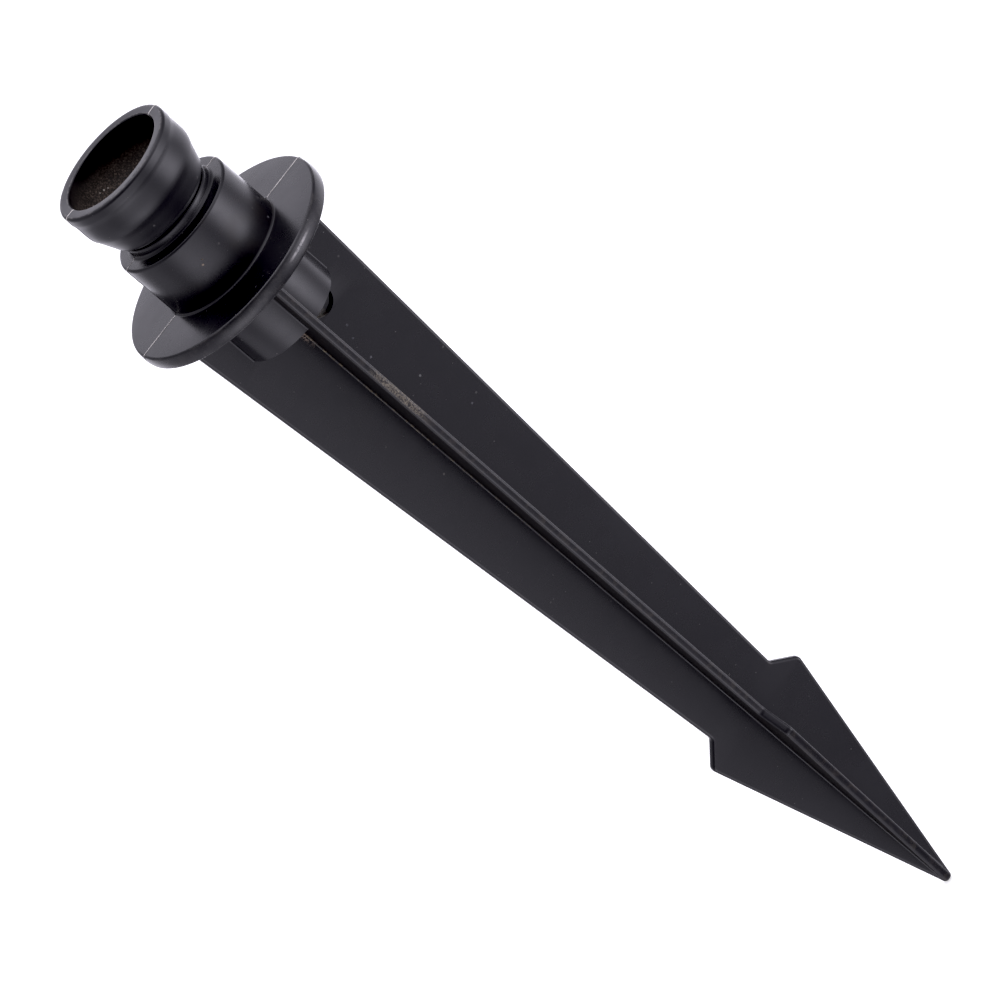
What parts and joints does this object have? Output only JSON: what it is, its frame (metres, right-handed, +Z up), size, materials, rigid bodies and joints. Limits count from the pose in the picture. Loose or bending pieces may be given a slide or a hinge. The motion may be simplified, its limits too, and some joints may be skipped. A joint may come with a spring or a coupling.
{
  "type": "garden light ground spike",
  "caption": "Black plastic ground spike for a garden light: open lamp socket on a neck and collar, round soil flange, hub with cable outlet, cross-shaped barbed blade.",
  "frame": {"origin": "centre of the flange's underside, on the spike's axis, at the soil line", "axes": "+Z up along the spike's axis, out of the lamp socket; the blade points along -Z; the left and right fins lie along X, the front fin along -Y"},
  "size_m": [0.06, 0.06, 0.3061],
  "materials": {
    "moulded_plastic": "black satin injection moulding with a very fine grain"
  },
  "bodies": {
    "root": {"socket_cup": "moulded_plastic", "socket_neck": "moulded_plastic", "collar": "moulded_plastic", "ground_flange": "moulded_plastic", "hub": "moulded_plastic", "blade_core": "moulded_plastic", "fin_right": "moulded_plastic", "fin_left": "moulded_plastic", "fin_front": "moulded_plastic", "fin_rear": "moulded_plastic"}
  },
  "joints": []
}
